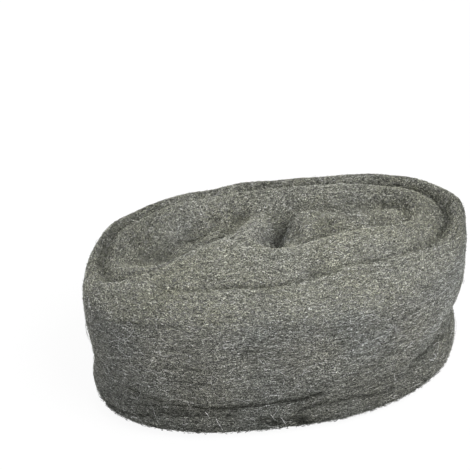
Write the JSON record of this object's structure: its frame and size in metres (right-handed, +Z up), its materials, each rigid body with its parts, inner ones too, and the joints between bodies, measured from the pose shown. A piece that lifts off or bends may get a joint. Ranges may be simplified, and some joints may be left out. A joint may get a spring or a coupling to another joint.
{
  "type": "steel wool pad",
  "caption": "Soft abrasive pad of fine steel fibres: a flat ribbon wound into an oval coil with a folded centre, standing on its edge.",
  "frame": {"origin": "middle of the pad's plan, on the surface that it stands on", "axes": "+X along the pad's length to the right in the picture, +Y to the back, +Z up along the ribbon's width"},
  "size_m": [0.1344, 0.0814, 0.0581],
  "materials": {
    "steel_wool": "matt grey mat of fine steel fibres with small glints"
  },
  "bodies": {
    "root": {"steel_wool_pad": "steel_wool"}
  },
  "joints": []
}
